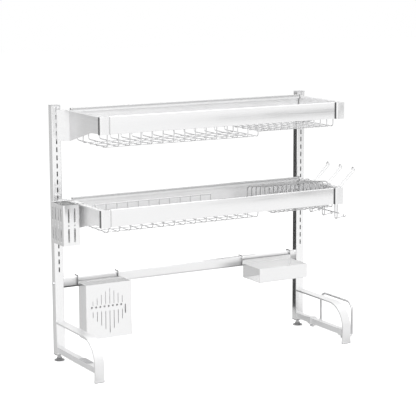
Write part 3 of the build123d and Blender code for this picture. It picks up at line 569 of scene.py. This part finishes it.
class Finishes:
    """Every material on the rack."""

    def __init__(self, sizes: RackSizes) -> None:
        """Builds the shared groups, then each finish.

        Args:
            sizes: The rack's sizes.
        """
        groups = SurfaceGroups()
        bright = {"light": (0.985, 0.985, 0.987), "dark": (0.955, 0.955, 0.958)}
        satin = {"smooth": 0.3, "rough": 0.42}
        self.sheet_x = BrushedSteel(name="panel_brushed_along").build(groups)
        # front panels: painted shadow where they slip under the corner caps
        self.front_panel = ShadowedSheet(
            name="front_panel_painted_joint_shadow",
            joint_shadow=(0.4, 0.4, 0.403),
            joint_shadow_start=0.4,
            joint_shadow_end=0.4065,
        ).build(groups)
        # back panels: painted shadow at the right end and painted shadow lines along both rims;
        # the low metal and satin make a lighter copy of the panel steel, which is painted light
        self.back_panel = ShadowedSheet(
            name="back_panel_painted_shadow_and_light",
            joint_shadow=(0.25, 0.25, 0.253),
            joint_shadow_start=0.4175,
            joint_shadow_end=0.421,
            right_only=True,
            rims=(sizes.top_shelf + sizes.back_rise, sizes.middle_shelf + sizes.back_rise),
            metallic=0.6,
            **satin,
        ).build(groups)
        self.bar = ShadedBar(
            name="lower_bar_satin_painted_shade",
            light=bright["light"],
            dark=(0.96, 0.96, 0.963),
            metallic=0.8,
            bump=0.02,
            # painted shade on the bar's lower face left of the knife box and towards the caddy
            shades=(
                BarShade(along=(-0.36, -0.385), down=(0.266, 0.238), share=0.55),
                BarShade(along=(-0.36, -0.385), down=(0.243, 0.239), share=0.93),
                BarShade(along=(0.11, 0.2), down=(0.261, 0.246), share=0.47),
            ),
            **satin,
        ).build(groups)
        # a lighter, less metal copy of the bracket steel: painted light on the middle shelf's
        # left bracket
        self.painted_lit_web = BrushedSteel(
            name="bracket_brushed_painted_light",
            light=(0.97, 0.97, 0.972),
            dark=(0.93, 0.93, 0.934),
            smooth=0.35,
            rough=0.5,
            metallic=0.3,
            axis=BrushAxis.ALONG_Z,
        ).build(groups)
        self.sheet_y = BrushedSteel(
            name="bracket_brushed_deep",
            light=(0.92, 0.92, 0.923),
            dark=(0.87, 0.87, 0.874),
            metallic=0.7,
            axis=BrushAxis.ALONG_Y,
            **satin,
        ).build(groups)
        self.sheet_z = BrushedSteel(
            name="upright_brushed", axis=BrushAxis.ALONG_Z, **bright
        ).build(groups)
        # knife box and caddy: painted light on their inner faces
        self.lit_inside = InsideLitSteel(
            name="box_brushed_painted_light_inside",
            axis=BrushAxis.ALONG_Z,
            box_node="knife_box",
            **bright,
        ).build(groups)
        self.caddy = InsideLitSteel(
            name="caddy_brushed_painted_light_inside", box_node="sponge_caddy"
        ).build(groups)
        self.corner = FlankedFinish(name="corner_cap_polished").build(groups)
        # the hook plates get a lighter painted dark reflection on their flanks
        self.hook = FlankedFinish(
            name="hook_plate_polished", painted_flank_reflection=(0.45, 0.45, 0.455)
        ).build(groups)
        self.screw = PlainFinish(
            name="screw_head_polished",
            light=(0.8, 0.8, 0.81),
            dark=(0.7, 0.7, 0.71),
            smooth=0.15,
            rough=0.25,
            metallic=1.0,
        ).build(groups)
        self.wire = PlainFinish(
            name="basket_wire",
            light=(0.76, 0.76, 0.765),
            dark=(0.68, 0.68, 0.685),
            smooth=0.36,
            rough=0.48,
            metallic=1.0,
            patch_scale=20.0,
        ).build(groups)
        # a darker copy of the basket wire: painted shade on the plate rack's dividers
        self.divider = PlainFinish(
            name="divider_wire_painted_shade",
            light=(0.5, 0.5, 0.505),
            dark=(0.42, 0.42, 0.425),
            metallic=1.0,
            patch_scale=20.0,
            **satin,
        ).build(groups)
        self.weld = PlainFinish(
            name="weld_nugget",
            light=(0.7, 0.7, 0.71),
            dark=(0.5, 0.5, 0.51),
            smooth=0.3,
            rough=0.45,
            metallic=1.0,
            patch_scale=120.0,
        ).build(groups)
        self.plastic = PlainFinish(
            name="dark_moulding",
            light=(0.09, 0.09, 0.095),
            dark=(0.055, 0.055, 0.06),
            smooth=0.38,
            rough=0.52,
        ).build(groups)
        self.pale_plastic = PlainFinish(
            name="pale_moulding",
            light=(0.62, 0.62, 0.63),
            dark=(0.54, 0.54, 0.55),
            smooth=0.35,
            rough=0.5,
        ).build(groups)
        self.pad = DarkBottomFinish(name="leg_pad_moulding").build(groups)
        self.foot = PlainFinish(
            name="foot_moulding",
            light=(0.34, 0.34, 0.345),
            dark=(0.26, 0.26, 0.265),
            smooth=0.35,
            rough=0.5,
        ).build(groups)


def dress(node: str, material: bpy.types.Material) -> None:
    """Gives a CAD node its finish.

    Args:
        node: The node's name.
        material: The material for all its faces.
    """
    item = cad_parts[node]
    if not item.material_slots:
        item.data.materials.append(material)
    for place in item.material_slots:
        place.material = material


def new_piece(
    name: str, mesh: bpy.types.Mesh, body: str, material: bpy.types.Material
) -> bpy.types.Object:
    """Places a finished mesh in the scene and on its body.

    Args:
        name: The piece's name.
        mesh: Its mesh, in the rack's frame.
        body: The body it moves with.
        material: Its material.

    Returns:
        The piece's object.
    """
    piece = bpy.data.objects.new(name, mesh)
    bpy.context.scene.collection.objects.link(piece)
    mesh.materials.clear()
    mesh.materials.append(material)
    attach(piece, body)
    log.info("%s on %s: %d faces", name, body, len(mesh.polygons))
    return piece


class RuleTree:
    """A geometry tree with named sizes, run on a mesh of points or edges."""

    def __init__(self, name: str, sizes: dict[str, float]) -> None:
        """Makes the tree and its sockets.

        Args:
            name: The tree's name.
            sizes: Starting values by input name.
        """
        self.tree = bpy.data.node_groups.new(name, "GeometryNodeTree")
        face = self.tree.interface
        face.new_socket("Geometry", in_out="INPUT", socket_type="NodeSocketGeometry")
        for label, value in sizes.items():
            socket = face.new_socket(label, in_out="INPUT", socket_type="NodeSocketFloat")
            socket.default_value = value
        face.new_socket("Geometry", in_out="OUTPUT", socket_type="NodeSocketGeometry")
        self.graph = Graph(self.tree)
        self.given = self.graph.add("NodeGroupInput").outputs

    def end(self, last: bpy.types.Node, material: bpy.types.Material) -> None:
        """Finishes the tree with realised instances, smooth faces and a material.

        Args:
            last: The last geometry node.
            material: The material that the tree sets.
        """
        g = self.graph
        real = g.add("GeometryNodeRealizeInstances", last.outputs[0])
        smooth = g.add("GeometryNodeSetShadeSmooth", real.outputs[0])
        dressed = g.add("GeometryNodeSetMaterial", smooth.outputs[0], Material=material)
        g.add("NodeGroupOutput", dressed.outputs[0])

    def run(
        self, points: list[Point], edges: list[tuple[int, int]], sizes: dict[str, float]
    ) -> bpy.types.Mesh:
        """Runs the tree on points, or on points joined by edges.

        Args:
            points: Places in metres.
            edges: Pairs of point numbers.
            sizes: Input values by name.

        Returns:
            The finished plain mesh.
        """
        seed = bpy.data.meshes.new("path")
        seed.from_pydata(points, edges, [])
        carrier = bpy.data.objects.new("carrier", seed)
        bpy.context.scene.collection.objects.link(carrier)
        modifier = carrier.modifiers.new("rule", "NODES")
        modifier.node_group = self.tree
        for item in self.tree.interface.items_tree:
            if item.in_out == "INPUT" and item.name in sizes:
                modifier[item.identifier] = sizes[item.name]
        graph = bpy.context.evaluated_depsgraph_get()
        mesh = bpy.data.meshes.new_from_object(carrier.evaluated_get(graph))
        bpy.data.objects.remove(carrier)
        return mesh


class WeldTree(RuleTree):
    """Puts a flattened nugget of weld on each point."""

    def __init__(self, material: bpy.types.Material) -> None:
        """Builds the tree.

        Args:
            material: The weld's material.
        """
        super().__init__("weld_nuggets", {"Nugget Radius": 0.0016, "Flatness": 0.7})
        g = self.graph
        radius = self.given["Nugget Radius"]
        ball = g.add("GeometryNodeMeshUVSphere", Segments=8, Rings=5, Radius=radius)
        shape = g.add("ShaderNodeCombineXYZ", 1.0, self.given["Flatness"], 1.0)
        nuggets = g.add(
            "GeometryNodeInstanceOnPoints",
            Points=self.given["Geometry"],
            Instance=ball.outputs["Mesh"],
            Scale=shape.outputs[0],
        )
        self.end(nuggets, material)


class RimTree(RuleTree):
    """Rolls a round bead along a path of edges, with rounded corners."""

    def __init__(self, material: bpy.types.Material) -> None:
        """Builds the tree.

        Args:
            material: The bead's material.
        """
        super().__init__("rolled_rim", {"Bead Radius": 0.0008, "Corner Radius": 0.004})
        g = self.graph
        path = g.add("GeometryNodeMeshToCurve", Mesh=self.given["Geometry"])
        rounded = g.add(
            "GeometryNodeFilletCurve",
            settings={"mode": "POLY"},
            Curve=path.outputs[0],
            Count=6,
            Radius=self.given["Corner Radius"],
        )
        radius = self.given["Bead Radius"]
        ring = g.add("GeometryNodeCurvePrimitiveCircle", Resolution=10, Radius=radius)
        bead = g.add(
            "GeometryNodeCurveToMesh",
            Curve=rounded.outputs[0],
            Profile_Curve=ring.outputs[0],
            Fill_Caps=True,
        )
        self.end(bead, material)


@dataclass
class FoldedPanel:
    """A shelf panel folded from sheet, with true bend radii."""

    node: str
    body: str
    line: list[Span]
    half_length: float
    thickness: float
    bend: float = 0.0014
    steps: int = 5

    def _bent_line(self) -> list[Vector]:
        """Rounds the corners of the sheet's middle line.

        Returns:
            The points of the rounded line.
        """
        corners = [Vector(p) for p in self.line]
        rounded = [corners[0]]
        for before, corner, after in zip(corners, corners[1:], corners[2:]):
            back = (before - corner).normalized()
            ahead = (after - corner).normalized()
            half = back.angle(ahead) / 2
            reach = self.bend / math.tan(half)
            centre = corner + (back + ahead).normalized() * (self.bend / math.sin(half))
            start = corner + back * reach - centre
            stop = corner + ahead * reach - centre
            turn = start.angle_signed(stop)
            for step in range(self.steps + 1):
                spoke = start.copy()
                spoke.rotate(Matrix.Rotation(-turn * step / self.steps, 2))
                rounded.append(centre + spoke)
        rounded.append(corners[-1])
        return rounded

    def _both_sides(self) -> list[tuple[Vector, Vector]]:
        """Gives the sheet its thickness.

        Returns:
            The points to either side of the rounded line.
        """
        line = self._bent_line()
        sides: list[tuple[Vector, Vector]] = []
        for index, point in enumerate(line):
            before = line[max(index - 1, 0)]
            after = line[min(index + 1, len(line) - 1)]
            way = (after - before).normalized()
            out = Vector((-way.y, way.x)) * self.thickness / 2
            sides.append((point + out, point - out))
        return sides

    def build(self, material: bpy.types.Material) -> None:
        """Makes the panel and lets it stand for its CAD node.

        Args:
            material: The sheet's material.
        """
        sides = self._both_sides()
        form = bmesh.new()
        left, right = (
            [[form.verts.new((x, p.x, p.y)) for p in pair] for pair in sides]
            for x in (-self.half_length, self.half_length)
        )
        for i in range(len(sides) - 1):
            for k in (0, 1):
                form.faces.new((left[i][k], left[i + 1][k], right[i + 1][k], right[i][k]))
            for ring in (left, right):
                form.faces.new((ring[i][0], ring[i + 1][0], ring[i + 1][1], ring[i][1]))
        for i in (0, len(sides) - 1):
            form.faces.new((left[i][0], left[i][1], right[i][1], right[i][0]))
        bmesh.ops.recalc_face_normals(form, faces=form.faces)
        name = self.node + "_folded"
        mesh = bpy.data.meshes.new(name)
        form.to_mesh(mesh)
        form.free()
        mesh.shade_smooth()
        mesh.set_sharp_from_angle(angle=CREASE)
        piece = new_piece(name, mesh, self.body, material)
        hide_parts(self.node)


@dataclass
class Shelf:
    """One shelf's frame: folded panels, brackets, corner caps and rivets."""

    body: str
    top: float
    left_web: bpy.types.Material
    sizes: RackSizes

    def _front_line(self) -> list[Span]:
        """Draws the front panel's section.

        Returns:
            Its middle line as (y, z) points.
        """
        s = self.sizes
        half = s.sheet / 2
        low = self.top - s.panel_height
        return [
            (s.panel_front + s.ledge, low + half),
            (s.panel_front + half, low + half),
            (s.panel_front + half, self.top - half),
            (s.panel_front + s.hem - half, self.top - half),
            (s.panel_front + s.hem - half, self.top - s.front_hem_drop),
        ]

    def _back_line(self) -> list[Span]:
        """Draws the back panel's section.

        Returns:
            Its middle line as (y, z) points.
        """
        s = self.sizes
        half = s.sheet / 2
        low = self.top - s.panel_height
        rim = self.top + s.back_rise
        rear = s.back_face + s.sheet
        return [
            (rear - s.ledge, low + half),
            (rear - half, low + half),
            (rear - half, rim - half),
            (s.back_face - s.hem + half, rim - half),
            (s.back_face - s.hem + half, rim - s.back_hem_drop),
        ]

    def build(self, finishes: Finishes) -> None:
        """Makes the panels and dresses the rest.

        Args:
            finishes: The rack's materials.
        """
        s = self.sizes
        for kind, line, finish in (
            ("front", self._front_line(), finishes.front_panel),
            ("back", self._back_line(), finishes.back_panel),
        ):
            node = f"{self.body}_{kind}_panel"
            FoldedPanel(node, self.body, line, s.web_inner, s.sheet).build(finish)
        dress(f"{self.body}_left_bracket", self.left_web)
        dress(f"{self.body}_right_bracket", finishes.sheet_y)
        dress(f"{self.body}_corner_caps", finishes.corner)
        dress(f"{self.body}_rivets", finishes.weld)


@dataclass
class WireBasket:
    """A welded basket: its wires' finish and the welds at every crossing."""

    body: str
    first: float
    last: float
    count: int
    ledge: float
    drop: float
    bend: float
    front_rim: float = -0.13375
    back_rim: float = 0.08475
    ledge_sheet: float = 0.0012
    hang_gap: float = 0.0003
    rim_radius: float = 0.00225
    rim_to_wire: float = 0.00355
    rim_to_weld: float = 0.0020
    floor_to_weld: float = 0.00145
    cross_wires: tuple[float, ...] = (0.1, 0.34, 0.57, 0.79)
    nugget: float = 0.0019
    flatness: float = 0.8

    def _weld_points(self) -> list[Point]:
        """Finds where the wires cross.

        Returns:
            The places of the welds.
        """
        pitch = (self.last - self.first) / (self.count - 1)
        rim = self.ledge + self.ledge_sheet + self.hang_gap + self.rim_radius
        floor = self.ledge - self.drop - self.floor_to_weld
        start = self.front_rim + self.rim_to_wire + self.bend
        stop = self.back_rim - self.rim_to_wire - self.bend
        points: list[Point] = []
        for index in range(self.count):
            x = self.first + index * pitch
            points.append((x, self.front_rim + self.rim_to_weld, rim))
            points.append((x, self.back_rim - self.rim_to_weld, rim))
            for share in self.cross_wires:
                points.append((x, start + share * (stop - start), floor))
        return points

    def build(self, finishes: Finishes, welds: WeldTree) -> None:
        """Dresses the wires and adds the welds.

        Args:
            finishes: The rack's materials.
            welds: The tree that makes the nuggets.
        """
        for kind in ("walls", "floor", "ends"):
            dress(f"{self.body}_{kind}", finishes.wire)
        sizes = {"Nugget Radius": self.nugget, "Flatness": self.flatness}
        mesh = welds.run(self._weld_points(), [], sizes)
        new_piece(f"{self.body}_welds", mesh, self.body, finishes.weld)


@dataclass
class HungBox:
    """A sheet holder: its finishes and the rolled bead round its rim."""

    body: str
    across: Span
    deep: Span
    top: float
    corner: float
    dressing: dict[str, bpy.types.Material]
    bead: float = 0.0009

    def _rim_corners(self) -> list[Point]:
        """Finds the corners of the bead's middle line.

        Returns:
            The corners in order.
        """
        left, right = self.across[0] + self.bead, self.across[1] - self.bead
        front, back = self.deep[0] + self.bead, self.deep[1] - self.bead
        height = self.top - self.bead
        ring = ((left, front), (right, front), (right, back), (left, back))
        return [(x, y, height) for x, y in ring]

    def build(self, finishes: Finishes, rims: RimTree) -> None:
        """Dresses the holder and rolls its rim.

        Args:
            finishes: The rack's materials.
            rims: The tree that makes the bead.
        """
        for node, finish in self.dressing.items():
            dress(node, finish)
        corners = self._rim_corners()
        loop = [(i, (i + 1) % len(corners)) for i in range(len(corners))]
        mesh = rims.run(corners, loop, {"Bead Radius": self.bead, "Corner Radius": self.corner})
        new_piece(f"{self.body}_rim", mesh, self.body, finishes.sheet_x)


class StandingFrame:
    """Everything that stands still, and the levelling feet."""

    def build(self, finishes: Finishes) -> None:
        """Dresses the frame's CAD nodes.

        Args:
            finishes: The rack's materials.
        """
        for side in ("left", "right"):
            dress(f"{side}_column", finishes.sheet_z)
            dress(f"{side}_column_cap", finishes.pale_plastic)
            dress(f"{side}_foot_arch", finishes.sheet_y)
            dress(f"{side}_leg_pad", finishes.pad)
            dress(f"{side}_foot_rail", finishes.sheet_y)
            dress(f"{side}_foot_plug", finishes.plastic)
            dress(f"{side}_foot_base", finishes.foot)
            dress(f"{side}_foot_stem", finishes.wire)
        dress("lower_bar", finishes.bar)
        dress("bar_plugs", finishes.plastic)
        dress("bar_bolts", finishes.screw)
        dress("sink_edge_stop", finishes.pale_plastic)
        dress("towel_hoop", finishes.wire)
        dress("hoop_clamps", finishes.sheet_y)
        dress("clamp_screws", finishes.screw)


class DishRack:
    """The whole rack, built from its sub-assemblies."""

    def build(self) -> None:
        """Dresses the frame, the shelves, the baskets and the holders."""
        sizes = RackSizes()
        finishes = Finishes(sizes)
        welds = WeldTree(finishes.weld)
        rims = RimTree(finishes.sheet_x)
        StandingFrame().build(finishes)
        Shelf("top_shelf", sizes.top_shelf, finishes.sheet_y, sizes).build(finishes)
        Shelf("middle_shelf", sizes.middle_shelf, finishes.painted_lit_web, sizes).build(finishes)
        for basket in self._baskets(sizes):
            basket.build(finishes, welds)
        dress("bowl_rack_fence", finishes.wire)
        dress("plate_rack_dividers", finishes.divider)
        for node in ("cup_hooks", "cup_hook_pegs", "cup_hook_rails", "cup_hook_hangers"):
            dress(node, finishes.wire)
        for box in self._boxes(finishes):
            box.build(finishes, rims)

    @staticmethod
    def _baskets(sizes: RackSizes) -> list[WireBasket]:
        """Lists the baskets.

        Args:
            sizes: The rack's sizes.

        Returns:
            The two baskets of the top shelf, the bowl rack and the plate rack.
        """
        top = sizes.top_shelf - sizes.panel_height
        low = sizes.middle_shelf - sizes.panel_height
        return [
            WireBasket("top_left_basket", -0.405, 0.123, 15, top, drop=0.040, bend=0.010),
            WireBasket("top_right_basket", 0.137, 0.408, 12, top, drop=0.025, bend=0.010),
            WireBasket("bowl_rack", -0.405, 0.123, 15, low, drop=0.020, bend=0.015),
            WireBasket("plate_rack", 0.187, 0.408, 14, low, drop=0.011, bend=0.005),
        ]

    @staticmethod
    def _boxes(finishes: Finishes) -> list[HungBox]:
        """Lists the sheet holders.

        Args:
            finishes: The rack's materials.

        Returns:
            The cage, the knife box and the caddy.
        """
        return [
            HungBox(
                "cutlery_cage",
                across=(-0.495, -0.4394),
                deep=(-0.001, 0.096),
                top=0.525,
                corner=0.0045,
                dressing={
                    "cutlery_cage": finishes.sheet_z,
                    "cutlery_cage_hooks": finishes.sheet_z,
                },
            ),
            HungBox(
                "knife_box",
                across=(-0.391, -0.23),
                deep=(0.0685, 0.127),
                top=0.25,
                corner=0.003,
                dressing={
                    "knife_box": finishes.lit_inside,
                    "knife_box_hooks": finishes.corner,
                    "knife_box_tray": finishes.pale_plastic,
                },
            ),
            HungBox(
                "sponge_caddy",
                across=(0.2225, 0.411),
                deep=(0.019, 0.127),
                top=0.2455,
                corner=0.002,
                dressing={
                    "sponge_caddy": finishes.caddy,
                    "sponge_caddy_hooks": finishes.hook,
                },
            ),
        ]


def stage_sheet(
    name: str, corners: list[Point], material: bpy.types.Material
) -> bpy.types.Object:
    """Makes a one-faced sheet of the studio.

    Args:
        name: The sheet's name.
        corners: Its four corners in order.
        material: Its material.

    Returns:
        The sheet's object.
    """
    mesh = bpy.data.meshes.new(name)
    mesh.from_pydata(corners, [], [(0, 1, 2, 3)])
    mesh.materials.append(material)
    sheet = bpy.data.objects.new(name, mesh)
    bpy.context.scene.collection.objects.link(sheet)
    return sheet


@dataclass(frozen=True)
class FloorPaper:
    """The paper that the steel mirrors in the floor: white, and grey behind at the left.

    Each pair is where the grey begins and where it is full, in metres. A white strip is left
    in the grey, in front of strip_back.
    """

    white: float = 0.98
    grey: float = 0.6
    front: Span = (-0.3, -0.16)
    right: Span = (0.75, 0.45)
    strip_middle: float = -0.24
    strip_side: Span = (0.17, 0.21)
    strip_back: Span = (0.1, 0.14)

    def tone(self, g: Graph) -> Socket:
        """Paints the paper.

        Args:
            g: The floor's graph.

        Returns:
            How bright the paper is.
        """
        place = g.split(g.here())
        front = g.ramp(place["Y"], *self.front)
        right = g.ramp(place["X"], *self.right)
        from_strip = g.number("ABSOLUTE", g.number("SUBTRACT", place["X"], self.strip_middle))
        beside = g.ramp(from_strip, *self.strip_side)
        behind = g.ramp(place["Y"], *self.strip_back)
        outside = g.number("MAXIMUM", beside, behind)
        share = g.number("MULTIPLY", g.number("MULTIPLY", front, right), outside)
        return g.mix(Mixed.NUMBERS, share, self.white, self.grey)


@dataclass(frozen=True)
class Card:
    """A card on the floor that shows only in reflections."""

    name: str
    start: Span
    end: Span
    height: float
    tone: float

    def build(self) -> None:
        """Stands the card between its two upright edges."""
        material = bpy.data.materials.new(self.name)
        g = bare_graph(material)
        g.end(g.add("ShaderNodeEmission", WHITE, self.tone))
        low = [(*self.start, 0.0), (*self.end, 0.0)]
        high = [(*self.end, self.height), (*self.start, self.height)]
        card = stage_sheet(self.name, low + high, material)
        card.visible_camera = False
        card.visible_diffuse = False
        card.visible_shadow = False


@dataclass(frozen=True)
class Softbox:
    """A soft square lamp, its size in metres and its power in watts."""

    name: str
    place: Point
    aim: Point
    size: float
    power: float

    def build(self) -> None:
        """Hangs the lamp."""
        light = bpy.data.lights.new(self.name, "AREA")
        light.size = self.size
        light.energy = self.power
        lamp = bpy.data.objects.new(self.name, light)
        lamp.location = self.place
        way = Vector(self.aim) - Vector(self.place)
        lamp.rotation_euler = way.to_track_quat("-Z", "Y").to_euler()
        bpy.context.scene.collection.objects.link(lamp)


@dataclass(frozen=True)
class PhotoCamera:
    """The camera where the photograph was taken from, with its angles in degrees."""

    place: Point = (-2.327, -4.101, 1.287)
    turn: float = -29.72
    down: float = 9.77
    roll: float = -0.19
    lens: float = 128.68
    sensor: float = 36.0
    clip_end: float = 100.0

    def build(self) -> None:
        """Sets the camera."""
        data = bpy.data.cameras.new("camera")
        data.sensor_width = self.sensor
        data.lens = self.lens
        data.clip_end = self.clip_end
        camera = bpy.data.objects.new("camera", data)
        turn = Matrix.Rotation(math.radians(self.turn), 4, "Z")
        tilt = Matrix.Rotation(math.radians(90.0 - self.down), 4, "X")
        roll = Matrix.Rotation(math.radians(self.roll), 4, "Z")
        camera.matrix_world = Matrix.Translation(self.place) @ turn @ tilt @ roll
        bpy.context.scene.collection.objects.link(camera)
        bpy.context.scene.camera = camera


@dataclass(frozen=True)
class Studio:
    """The floor, the world, the reflecting cards, the lamps and the camera."""

    floor_colour: tuple[float, ...] = (0.93, 0.93, 0.93, 1.0)
    floor_glow: float = 0.5
    floor_reach: float = 14.0
    world_light: float = 0.55

    def build(self) -> None:
        """Sets up the studio."""
        self._floor()
        self._world()
        Card("dark_flag", (0.30, 0.165), (0.30, 0.44), height=0.79, tone=0.04).build()
        Card("grey_flag", (-2.6, 1.0), (-0.62, 1.0), height=1.6, tone=0.58).build()
        Card("front_flag", (2.25, -4.0), (4.2, -4.0), height=0.5, tone=0.55).build()
        Softbox("key_softbox", (-1.2, -2.6, 2.6), (0.0, 0.0, 0.45), size=2.6, power=52.0).build()
        Softbox("top_softbox", (0.4, 0.2, 3.0), (0.0, 0.0, 0.4), size=2.4, power=30.0).build()
        PhotoCamera().build()
        bpy.context.scene.view_settings.view_transform = "Standard"

    def _floor(self) -> None:
        """Makes the pale floor, which keeps the rack's shadow and is paper to the steel."""
        material = bpy.data.materials.new("pale_floor")
        g = bare_graph(material)
        ray = g.add("ShaderNodeLightPath").outputs
        matt = g.add("ShaderNodeBsdfDiffuse", self.floor_colour)
        seen = g.number("MULTIPLY", ray["Is Camera Ray"], self.floor_glow)
        glow = g.add("ShaderNodeEmission", WHITE, seen)
        lit = g.add("ShaderNodeAddShader", matt.outputs[0], glow.outputs[0])
        paper = g.add("ShaderNodeEmission", WHITE, FloorPaper().tone(g))
        mirrored = ray["Is Glossy Ray"]
        g.end(g.add("ShaderNodeMixShader", mirrored, lit.outputs[0], paper.outputs[0]))
        far = self.floor_reach
        corners = [(-far, -far, 0.0), (far, -far, 0.0), (far, far, 0.0), (-far, far, 0.0)]
        stage_sheet("floor", corners, material)

    def _world(self) -> None:
        """Makes a world that is white to the eye and in reflections, and softer as light."""
        world = bpy.data.worlds.new("studio_white")
        g = bare_graph(world)
        ray = g.add("ShaderNodeLightPath").outputs
        seen = g.number("MAXIMUM", ray["Is Camera Ray"], ray["Is Transmission Ray"])
        shown = g.number("MAXIMUM", seen, ray["Is Glossy Ray"])
        soft = g.add("ShaderNodeBackground", WHITE, self.world_light)
        white = g.add("ShaderNodeBackground", WHITE, 1.0)
        choice = g.add("ShaderNodeMixShader", shown, soft.outputs[0], white.outputs[0])
        g.end(choice, "ShaderNodeOutputWorld")
        bpy.context.scene.world = world


def main() -> None:
    """Builds the rack and the studio."""
    DishRack().build()
    Studio().build()


if __name__ == "__main__":
    main()
